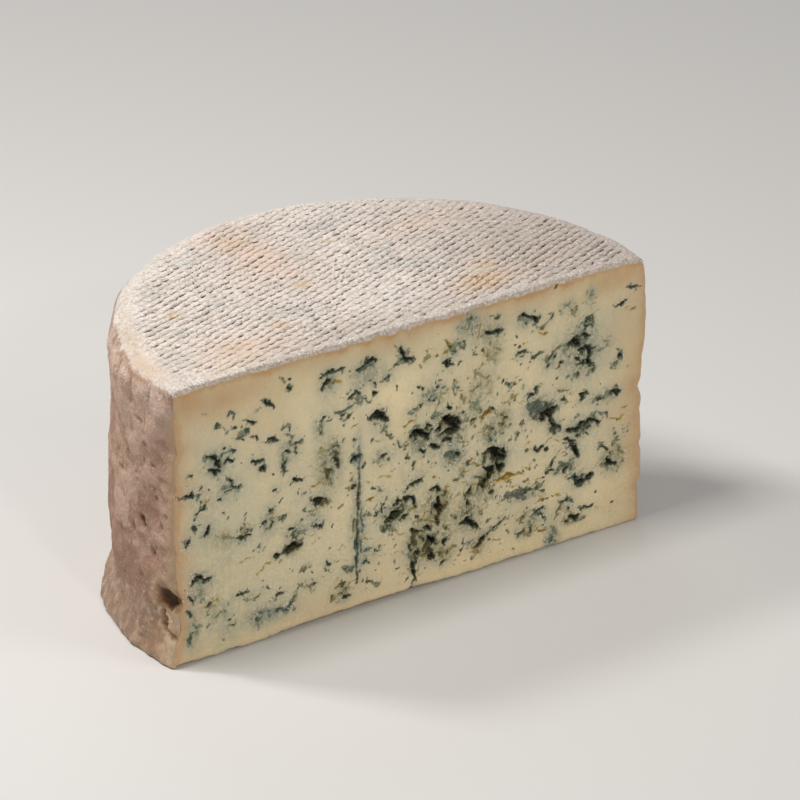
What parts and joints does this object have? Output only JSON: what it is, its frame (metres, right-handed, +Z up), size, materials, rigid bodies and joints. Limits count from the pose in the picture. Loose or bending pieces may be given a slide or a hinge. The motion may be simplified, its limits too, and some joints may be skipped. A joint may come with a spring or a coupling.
{
  "type": "half wheel of blue cheese",
  "caption": "Half of a tall round blue-veined cheese, cut straight across, standing on its flat side, with a rounded rind, open veins and a broken lower corner.",
  "frame": {"origin": "on the base, on the vertical axis that the whole wheel had, 9 mm behind the cut face", "axes": "+Z up; +X to the right along the cut; the cut face looks towards -Y and the round side towards +Y"},
  "size_m": [0.2043, 0.1102, 0.1057],
  "materials": {
    "paste": "ivory cheese paste, moist and slightly translucent, with blue-green mould in its openings",
    "rind": "dry natural rind: whitish bloom with a pressed mat pattern on top, pinkish beige and wrinkled round the side"
  },
  "bodies": {
    "root": {"cheese_half_wheel": "paste"}
  },
  "joints": []
}
